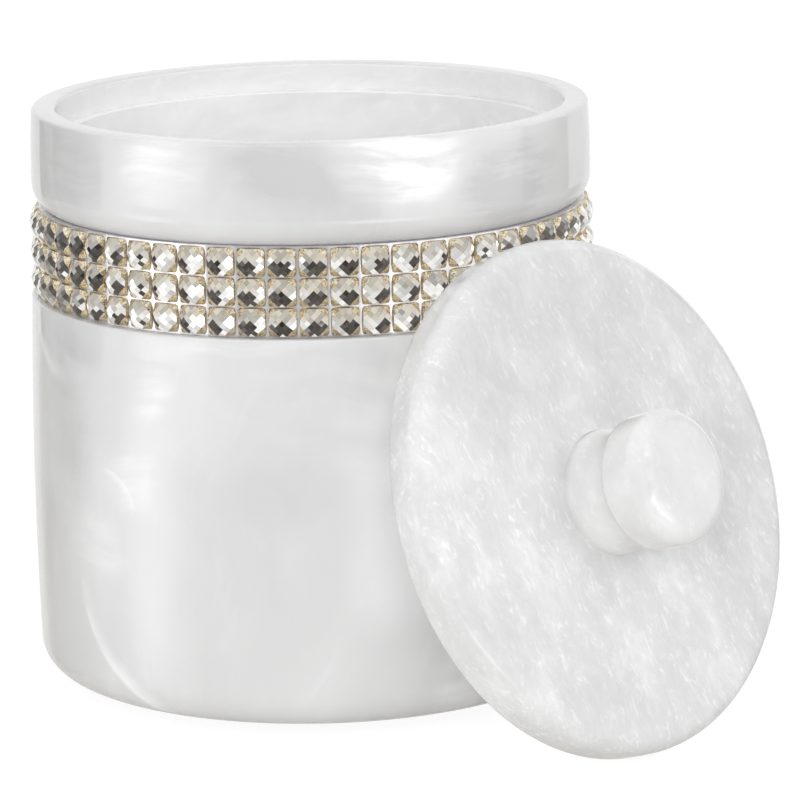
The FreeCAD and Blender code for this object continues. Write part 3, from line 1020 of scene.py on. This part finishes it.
    def strip_cell(self) -> Object:
        """Makes one cell of the strip: bars round a sunken, round-cornered window.

        Returns:
            The cell, lying flat.
        """
        deselect()
        wide = 2 * (self.bed + self.strip) * math.tan(TURN / self.columns / 2)
        window = self.stone + 2 * self.clearance
        bar = (self.pitch - window) / 2
        bpy.ops.mesh.primitive_plane_add(size=1, location=(0, 0, self.strip * MM))
        cell = added("setting_strip")
        cell.scale = (wide * MM, self.pitch * MM, 1)
        settle(cell)
        open_mesh("FACE", "SELECT")
        bpy.ops.mesh.inset(thickness=bar * MM)
        bpy.ops.transform.resize(value=(window / (wide - 2 * bar), 1, 1),
                                 center_override=(0, 0, 0))
        bpy.ops.mesh.bevel(offset=self.window_corner * MM, segments=self.corner_steps,
                           affect="VERTICES")
        bpy.ops.object.mode_set(mode="OBJECT")
        for face in cell.data.polygons:
            face.select = face.center.xy.length < NEAR * MM and len(face.vertices) > 4
        bpy.ops.object.mode_set(mode="EDIT")
        bpy.ops.mesh.extrude_region_move(
            TRANSFORM_OT_translate={"value": (0, 0, (self.strip_floor - self.strip) * MM)})
        bpy.ops.object.mode_set(mode="OBJECT")
        return cell

    def set_strip(self, silver: Material) -> None:
        """Sets the strip round the neck: its cells repeated, edged and closed behind.

        Args:
            silver: The strip's plating.
        """
        strip = self.strip_cell()
        self.seat(strip, Row.BOTTOM.value)
        repeat(strip, len(Row), {"use_constant_offset": True,
                                 "constant_offset_displace": (0, 0, self.pitch * MM)})
        self.array(strip)
        open_mesh("EDGE", "SELECT")
        merge_points(NEAR)
        bpy.ops.mesh.select_all(action="DESELECT")
        bpy.ops.mesh.select_non_manifold(extend=False, use_wire=False, use_boundary=True,
                                         use_multi_face=False, use_non_contiguous=False,
                                         use_verts=False)
        middle = (0, 0, Row.MIDDLE.value * MM)
        taller = 1 + 2 * self.strip_edge / (self.pitch * len(Row))
        inward = self.neck / (self.bed + self.strip)
        for growth in ((1, 1, taller), (inward, inward, 1)):
            bpy.ops.mesh.extrude_edges_move()
            bpy.ops.transform.resize(value=growth, center_override=middle)
        bpy.ops.mesh.bridge_edge_loops()
        close_mesh()
        dress(strip, silver)
        stand_in(strip, "jar", "silver_mesh", "crystal_mesh")

    def build(self, glass: Material, gold: Material, silver: Material) -> None:
        """Cuts the stone, sets the rows and makes their strip.

        Args:
            glass: The silvered glass of the crown.
            gold: The foil round a stone's corners and sides.
            silver: The strip's plating.
        """
        stone = self.cut_stone()
        dress(stone, glass, gold)
        for row in Row:
            self.set_row(row, stone)
        bpy.data.objects.remove(stone)
        self.set_strip(silver)


@dataclass(frozen=True)
class Lean:
    """Where the lid leans: its back edge is on the table below and by the stones above.

    Attributes:
        facing: Which way the lid faces, from the front towards the right, in radians.
        tilt: How far it lies back from upright, in radians.
        offset: How far it stands to the side of where it would face the jar squarely.
        gap: Gap between the lid and the jar.
        widest: Radius of the jar where the lid comes nearest.
        lid_radius: Radius of the lid.
        back_rounding: Rounding of the lid's back edge.
    """

    facing: float = math.radians(45.7)
    tilt: float = math.radians(19.5)
    offset: float = -3.6
    gap: float = 0.3
    widest: float = 50.4
    lid_radius: float = 44.6
    back_rounding: float = 1.55

    def place(self, out: float = 0.0) -> Matrix:
        """Placement of a piece on the lid's axis.

        Args:
            out: How far out along the axis, in millimetres.

        Returns:
            The placement in metres.
        """
        reach = self.lid_radius - self.back_rounding
        height = self.back_rounding * (1 - math.sin(self.tilt)) + reach * math.cos(self.tilt)
        away = self.widest + self.gap + self.back_rounding * (1 - math.cos(self.tilt))
        away += reach * math.sin(self.tilt)
        front = Vector((math.sin(self.facing), -math.cos(self.facing), 0))
        side = Vector((math.cos(self.facing), math.sin(self.facing), 0))
        axis = front * math.cos(self.tilt) + Vector((0, 0, math.sin(self.tilt)))
        middle = front * away + side * self.offset + Vector((0, 0, height)) + axis * out
        turn = Matrix((side, axis.cross(side), axis)).transposed()
        return Matrix.Translation(middle * MM) @ turn.to_4x4()


@dataclass(frozen=True)
class Lid:
    """The lid: a thick cast disc, counterbored behind for the knob's screw."""

    lean: Lean = Lean()
    radius: float = 44.59
    thickness: float = 8.0
    front_rounding: float = 3.1
    back_rounding: float = 1.55
    pocket: float = 4.2
    pocket_depth: float = 3.1
    bore: float = 2.2

    def build(self, resin: Material) -> None:
        """Turns the lid, leans it and dresses it.

        Args:
            resin: The lid's resin.
        """
        disc = Turning("lid_disc", self.pocket, 0.0)
        disc.to(self.radius, 0.0).to(self.radius, self.thickness).to(self.bore, self.thickness)
        disc.to(self.bore, self.pocket_depth).to(self.pocket, self.pocket_depth)
        disc.to(self.pocket, 0.0)
        merge_points(SAME_POINT)
        disc.round(self.radius, self.thickness, self.front_rounding, steps=12)
        disc.round(self.radius, 0.0, self.back_rounding, steps=8)
        piece = disc.finish()
        piece.matrix_world = self.lean.place()
        settle(piece)
        dress(piece, resin)
        # The stones behind it mirror the bright studio instead of its shaded back.
        piece.visible_glossy = False
        stand_in(piece, "lid", "lid_resin", "lid")


@dataclass(frozen=True)
class Knob:
    """The knob: a flat round head on a waisted stem with a small foot."""

    lean: Lean = Lean()
    seat: float = 8.0
    bore: float = 3.25
    bore_depth: float = 10.5
    foot: float = 10.9
    foot_height: float = 1.2
    foot_rounding: float = 0.6
    throat: float = 10.05
    stem: float = 8.3
    waist: float = 0.95
    head: float = 11.54
    height: float = 16.9
    front_rounding: float = 2.7
    back_rounding: float = 1.3

    def build(self, resin: Material) -> None:
        """Turns the knob, seats it on the lid and dresses it.

        Args:
            resin: The knob's resin.
        """
        knob = Turning("knob_turned", self.bore, self.bore_depth)
        knob.to(self.bore, 0.0).to(self.foot, 0.0).to(self.foot, self.foot_height)
        hollow = bow(self.stem - self.foot_height, self.waist)
        knob.arc_to(self.throat, self.stem, hollow, steps=12, swells=False)
        knob.to(self.head, self.stem).to(self.head, self.height)
        knob.cap(self.head, self.height)
        knob.cap(self.bore, self.bore_depth)
        knob.round(self.head, self.height, self.front_rounding, steps=12)
        knob.round(self.head, self.stem, self.back_rounding, steps=6)
        knob.round(self.foot, self.foot_height, self.foot_rounding, steps=5)
        piece = knob.finish()
        piece.matrix_world = self.lean.place(self.seat)
        settle(piece)
        dress(piece, resin)
        stand_in(piece, "lid", "knob_resin", "knob")


@dataclass(frozen=True)
class Camera:
    """The camera, where the photograph was taken from.

    Attributes:
        lens: Focal length in millimetres.
        sensor: Width of the sensor in millimetres.
        elevation: How far it looks down, in radians.
        distance: How far it stands from its target, in millimetres.
        target_height: Height of the point over the origin that it stands round.
        yaw: How far it is then turned to the right, in radians.
        pitch: How far it is turned up, in radians.
        roll: How far it is rolled over, in radians.
        sight: The nearest and farthest that it sees, in metres.
    """

    lens: float = 199.04
    sensor: float = 36.0
    elevation: float = 0.2182
    distance: float = 799.05
    target_height: float = 50.97
    yaw: float = 0.0190
    pitch: float = -0.0022
    roll: float = -0.0171
    sight: Span = (0.01, 20.0)

    def build(self) -> None:
        """Sets the camera up and makes it the scene's."""
        deselect()
        place = Vector((0, -self.distance * math.cos(self.elevation),
                        self.target_height + self.distance * math.sin(self.elevation)))
        ahead = Vector((0, math.cos(self.elevation), -math.sin(self.elevation)))
        right = Vector((1, 0, 0))
        above = right.cross(ahead)
        ahead = (ahead + right * math.tan(self.yaw) + above * math.tan(self.pitch)).normalized()
        right = ahead.cross(Vector((0, 0, 1))).normalized()
        above = right.cross(ahead)
        across = right * math.cos(self.roll) + above * math.sin(self.roll)
        above = above * math.cos(self.roll) - right * math.sin(self.roll)
        bpy.ops.object.camera_add()
        camera = added("camera")
        camera.matrix_world = (Matrix.Translation(place * MM)
                               @ Matrix((across, above, -ahead)).transposed().to_4x4())
        camera.data.sensor_width = self.sensor
        camera.data.lens = self.lens
        camera.data.clip_start, camera.data.clip_end = self.sight
        bpy.context.scene.camera = camera


@dataclass(frozen=True)
class Card:
    """A dark or glowing card beside the set, for glass and polish to mirror.

    Attributes:
        name: The card's name.
        azimuth: Its direction in degrees, from the front towards the right.
        distance: How far it stands from the jar's middle, in millimetres.
        width: Its width in millimetres.
        low: Height of its lower edge in millimetres.
        high: Height of its upper edge in millimetres.
        level: How bright it is, where the white surroundings are 1.
        soft: Share of its width over which each side fades.
        feather: Share of its height over which its top and bottom fade.
        mottle: How much brighter its lightest blotches are.
        tint: Its hex colour.
    """

    name: str
    azimuth: float
    distance: float
    width: float
    low: float
    high: float
    level: float
    soft: float
    feather: float = 0.0
    mottle: float = 0.0
    tint: str = "#FFFFFF"

    def stand(self) -> None:
        """Stands the card up, where only glass and polish see it."""
        deselect()
        turn = math.radians(self.azimuth)
        bpy.ops.mesh.primitive_plane_add(size=1)
        card = added(self.name)
        card.scale = (self.width * MM, (self.high - self.low) * MM, 1)
        card.rotation_euler = Euler((math.pi / 2, 0, turn))
        card.location = Vector((math.sin(turn) * self.distance, -math.cos(turn) * self.distance,
                                (self.high + self.low) / 2)) * MM
        settle(card)
        card.data.materials.append(self.paint())
        card.visible_camera = False
        card.visible_diffuse = False
        card.visible_shadow = False

    def paint(self) -> Material:
        """Makes the card glow, with blotches on it and edges that fade.

        Returns:
            The card's material.
        """
        material, tree = new_material(f"card_{self.name}")
        sheet = add_node(tree, "ShaderNodeTexCoord").outputs["UV"]
        across = add_node(tree, "ShaderNodeSeparateXYZ", values={0: sheet}).outputs
        edges = [(across[0], 0.0, self.soft), (across[0], 1.0, -self.soft)]
        if self.feather:
            edges += [(across[1], 0.0, self.feather), (across[1], 1.0, -self.feather)]
        inside = 1.0
        for along, edge, step in edges:
            fade = add_node(tree, "ShaderNodeMapRange", FADE, {
                "Value": along, "From Min": edge, "From Max": edge + step}).outputs["Result"]
            inside = add_node(tree, "ShaderNodeMath", {"operation": "MULTIPLY"}, {
                0: fade, 1: inside}).outputs[0]
        blotches = add_node(tree, "ShaderNodeTexNoise", values={
            "Vector": sheet, "Scale": 6.0, "Detail": 1.0}).outputs["Fac"]
        strength = add_node(tree, "ShaderNodeMapRange", values={
            "Value": blotches, "From Min": 0.45, "From Max": 0.65, "To Min": self.level,
            "To Max": self.level * (1 + self.mottle)}).outputs["Result"]
        glow = add_node(tree, "ShaderNodeEmission", values={
            "Color": linear(self.tint), "Strength": strength})
        clear = add_node(tree, "ShaderNodeBsdfTransparent")
        mixed = add_node(tree, "ShaderNodeMixShader", values={
            0: inside, 1: clear.outputs[0], 2: glow.outputs[0]})
        add_node(tree, "ShaderNodeOutputMaterial", values={"Surface": mixed.outputs[0]})
        return material


@dataclass(frozen=True)
class Lamp:
    """A soft square lamp, which lights the object and isn't mirrored in it.

    Attributes:
        name: The lamp's name.
        place: Where it hangs, in metres.
        size: Side of its face in metres.
        power: Its power in watts.
        aim: The point that it shines at, in metres.
    """

    name: str
    place: Point
    size: float
    power: float
    aim: Point = (0.02, -0.02, 0.05)

    def hang(self) -> None:
        """Hangs the lamp and points it at the object."""
        deselect()
        bpy.ops.object.light_add(type="AREA", location=self.place)
        lamp = added(self.name)
        lamp.data.size = self.size
        lamp.data.energy = self.power
        heading = Vector(self.aim) - Vector(self.place)
        lamp.rotation_euler = heading.to_track_quat("-Z", "Y").to_euler()
        lamp.visible_glossy = False


@dataclass(frozen=True)
class Studio:
    """White floor, white surroundings, soft lamps, and cards for the polish to mirror.

    Attributes:
        ambient: How strongly the surroundings light the object, where they look like 1.
        underneath: Hex colour that glass and polish mirror from below.
        floor_size: Side of the floor in metres.
        floor_paper: Hex colour of the floor.
        floor_glow: Share of plain white in the floor that the camera sees, over its shadows.
        floor_white: How bright that white is.
        cards: The cards.
        lamps: The lamps.
    """

    ambient: float = 0.5
    underneath: str = "#DCD7CB"
    floor_size: float = 6.0
    floor_paper: str = "#F4F4F4"
    floor_glow: float = 0.8
    floor_white: float = 1.15
    cards: tuple[Card, ...] = (
        Card("flag_front", -7, 480, 690, -22, 380, 0.05, 0.05, mottle=1.6, tint="#FFF0EA"),
        Card("flag_left", -108, 500, 345, -20, 330, 0.06, 0.08, mottle=1.8, tint="#FFF4EA"),
        Card("flag_left_back", -128.5, 540, 258, -35, 330, 0.24, 0.02, mottle=1.0,
             tint="#FFFAF2"),
        Card("flag_right", 108, 500, 330, -20, 330, 0.12, 0.08, mottle=1.2, tint="#FFF2E4"),
        Card("flag_right_back", 119, 540, 140, -20, 330, 0.26, 0.02, mottle=1.0,
             tint="#FFF2E4"),
        Card("shade_left", -124, 540, 560, -280, -40, 0.5, 0.3, tint="#FFFAF2"),
        Card("shade_right", 120, 540, 560, -280, -20, 0.45, 0.3),
        Card("softbox_left", -67, 520, 340, -175, 5, 2.6, 0.5, feather=0.3),
        Card("softbox_left_high", -63, 515, 320, 5, 95, 2.8, 0.45),
        Card("softbox_low", 28, 470, 440, -118, -22, 2.8, 0.35, feather=0.22),
    )
    lamps: tuple[Lamp, ...] = (
        Lamp("lamp_left", (-0.85, -0.5, 0.22), 0.6, 0.6),
        Lamp("lamp_right", (0.78, -0.36, 0.58), 0.6, 1.7),
        Lamp("lamp_front", (-0.12, -1.0, 0.45), 0.5, 4.0),
        Lamp("lamp_top", (0.0, 0.15, 1.0), 0.9, 2.4),
        Lamp("lamp_back", (-0.15, 1.0, 0.4), 0.8, 2.0),
    )

    def build(self) -> None:
        """Sets up the world, the floor, the cards and the lamps."""
        self.world()
        self.floor()
        for card in self.cards:
            card.stand()
        for lamp in self.lamps:
            lamp.hang()

    def world(self) -> None:
        """Surrounds the set with white, and lights it more softly than that looks."""
        world = bpy.data.worlds.new("white_surround")
        bpy.context.scene.world = world
        world.use_nodes = True
        tree = world.node_tree
        tree.nodes.clear()
        path = add_node(tree, "ShaderNodeLightPath")
        mirrored = add_node(tree, "ShaderNodeMath", {"operation": "MAXIMUM"}, {
            0: path.outputs["Is Glossy Ray"], 1: path.outputs["Is Transmission Ray"]}).outputs[0]
        seen = add_node(tree, "ShaderNodeMath", {"operation": "MAXIMUM"}, {
            0: path.outputs["Is Camera Ray"], 1: mirrored}).outputs[0]
        heading = add_node(tree, "ShaderNodeTexCoord").outputs["Generated"]
        climb = add_node(tree, "ShaderNodeSeparateXYZ", values={0: heading}).outputs[2]
        fall = add_node(tree, "ShaderNodeMath", {"operation": "MULTIPLY"}, {
            0: climb, 1: -1.0}).outputs[0]
        below = add_node(tree, "ShaderNodeValToRGB", values={"Fac": fall}, stops=(
            (0.2, "#FFFFFF"), (0.45, self.underneath))).outputs["Color"]
        hue = add_node(tree, "ShaderNodeMix", {"data_type": "RGBA"}, {
            0: mirrored, 6: linear("#FFFFFF"), 7: below}).outputs[2]
        level = add_node(tree, "ShaderNodeMix", {"data_type": "FLOAT"}, {
            0: seen, 2: self.ambient, 3: 1.0}).outputs[0]
        glow = add_node(tree, "ShaderNodeBackground", values={"Color": hue, "Strength": level})
        add_node(tree, "ShaderNodeOutputWorld", values={"Surface": glow.outputs[0]})

    def floor(self) -> None:
        """Lays a white floor that keeps the object's shadow."""
        deselect()
        bpy.ops.mesh.primitive_plane_add(size=self.floor_size)
        floor = added("floor")
        material, tree = new_material("paper_white_seamless")
        camera = add_node(tree, "ShaderNodeLightPath").outputs["Is Camera Ray"]
        paper = add_node(tree, "ShaderNodeBsdfDiffuse", values={
            "Color": linear(self.floor_paper)})
        glow = add_node(tree, "ShaderNodeEmission", values={
            "Color": linear("#FFFFFF"), "Strength": self.floor_white})
        share = add_node(tree, "ShaderNodeMath", {"operation": "MULTIPLY"}, {
            0: camera, 1: self.floor_glow})
        mixed = add_node(tree, "ShaderNodeMixShader", values={
            0: share.outputs[0], 1: paper.outputs[0], 2: glow.outputs[0]})
        add_node(tree, "ShaderNodeOutputMaterial", values={"Surface": mixed.outputs[0]})
        floor.data.materials.append(material)
        floor.visible_glossy = False
        floor.visible_transmission = False


UPRIGHT = (math.pi / 2, 0.0, 0.0)
LEANING = {"centre": tuple(Lean().place().translation), "turn": tuple(Lean().place().to_euler())}

# The jar's marks: the two crescents and the three streaks after them are in the pigment; the rest
# are painted light and shade, as noted.
JAR_PIGMENT_AND_PAINTED_LIGHT = (
    Eddy((-28.0, -42.5, 23.0), 17.8, (-0.55, 0.49, -0.67), 0.34),
    Eddy((-36.3, -35.7, 38.0), 7.6, (0.58, -0.46, 0.67), 0.16),
    Sweep((-27.0, -43.3, 61.0), (7.0, 20.0, 9.0), 0.24, 4.0),
    Sweep((-31.0, -40.5, 44.0), (9.0, 20.0, 9.0), 0.2, 4.0),
    Sweep((-38.0, -33.5, 31.0), (7.0, 14.0, 10.0), 0.2, 4.0),
    # Painted highlights: brighter streaks on the collar, right and left of the front, standing in
    # for the lights that it mirrors.
    Sweep((15.2, -47.6, 101.5), (15.5, 30.0, 9.5), 0.8),
    Sweep((-25.0, -43.0, 99.0), (12.0, 20.0, 11.0), 0.28),
    # Painted shade: darker streaks on the collar, at the front and at both sides, standing in for
    # the dark surroundings that it mirrors.
    Sweep((-4.0, -49.6, 98.0), (12.0, 20.0, 9.0), -0.3),
    Sweep((34.5, -36.0, 97.0), (14.0, 20.0, 11.0), -0.55),
    Sweep((-42.0, -27.0, 97.0), (13.0, 20.0, 10.0), -0.2),
    # Painted light: a paler patch on the wall beside the lid, lifting the shade that the lid
    # casts there.
    Sweep((9.0, -49.2, 64.0), (23.0, 24.0, 24.0), 0.3, 9.0),
    # Painted light: a paler patch low on the wall by the lid's lower edge, lifting the shadow
    # between the lid and the jar.
    Sweep((26.0, -42.5, 7.0), (12.0, 14.0, 12.0), 0.4, 6.0),
    # Painted shade: darker streaks on the left side of the wall, where the light falls off.
    Sweep((-41.5, -28.5, 54.0), (8.0, 12.0, 28.0), -0.2, 8.0),
    # Painted highlight: a thin bright line on the wall just under the crystals.
    Sweep((-10.0, -49.4, 69.0), (20.0, 20.0, 2.0), 0.16, 1.2),
)
JAR_RESIN = PearlResin(
    "resin_pearl_cast_jar", "#CFCFCF", "#DFDFDF", "#E7E7E7", "#FBFBFB", cloud=34, fleck=3.0,
    stretch=6, fleck_share=0.05, grain=0.5, warp=26, lie=0.35, upright=UPRIGHT,
    centre=(0.03, 0.01, 0.02), marks=JAR_PIGMENT_AND_PAINTED_LIGHT)
# Painted light: a lighter copy of the jar's resin for inside the mouth, standing in for the light
# that the hollow doesn't get.
MOUTH_RESIN_PAINTED_LIGHTER = PearlResin(
    "resin_pearl_cast_mouth", "#E8E8E8", "#F4F4F4", "#FAFAFA", "#FFFFFF", cloud=14, fleck=3.0,
    stretch=6, fleck_share=0.2, grain=0.6, warp=14, lie=1.4, upright=UPRIGHT)
LID_RESIN = PearlResin(
    "resin_pearl_cast_lid", "#D4D4D4", "#E2E2E2", "#F0F0F0", "#FDFDFD", cloud=9, fleck=0.8,
    stretch=3.0, fleck_share=0.25, grain=0.72, warp=5, lie=0.33,
    marks=(Sweep((-12.0, 28.0, 8.0), (30.0, 20.0, 12.0), -0.32, 5.0),), **LEANING)
# Painted highlight: the knob's crescent lights the left of the head's rounded front edge.
KNOB_RESIN = PearlResin(
    "resin_pearl_cast_knob", "#DCDCDC", "#E6E6E6", "#EDEDED", "#FBFBFB", cloud=9, fleck=0.9,
    stretch=2.4, fleck_share=0.2, grain=0.55, warp=5, lie=0.3,
    marks=(Eddy((0.0, 0.0, 20.0), 10.4, (-0.95, -0.1, 0.35), 0.45),), **LEANING)
STRIP_SILVER = PlatedMetal("silver_plated_strip", "#FFFEFF", "#F0EDF0", grain=1.5, shine=0.85)
ZINC = PlatedMetal("steel_zinc_plated", "#C9CDD2", "#9A9FA6", grain=0.8)
BRASS = PlatedMetal("brass_turned", "#D9B563", "#A9863E", grain=0.8)


def dress_parts() -> None:
    """Dresses the parts that are shown as they are."""
    finishes = {
        "base_pad": (ClosedCellFoam(), "pad_foam"),
        "knob_screw": (ZINC, "screw_steel"),
        "knob_insert": (BRASS, "insert_brass"),
    }
    for name, (finish, slot) in finishes.items():
        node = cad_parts[name]
        dress(node, finish.make())
        report(node)


def main() -> None:
    """Builds the canister, its studio and its camera."""
    logging.basicConfig(level=logging.INFO, format="%(message)s")
    bpy.context.scene.view_settings.view_transform = "Standard"
    Camera().build()
    jar_resin, mouth_resin_painted_lighter, lid_resin, knob_resin, silver = [
        finish.make() for finish in (JAR_RESIN, MOUTH_RESIN_PAINTED_LIGHTER, LID_RESIN, KNOB_RESIN, STRIP_SILVER)]
    Jar().build(jar_resin, mouth_resin_painted_lighter)
    CrystalBand().build(CutCrystal().make(), GoldFoil().make(), silver)
    Lid().build(lid_resin)
    Knob().build(knob_resin)
    dress_parts()
    Studio().build()


if __name__ == "__main__":
    main()
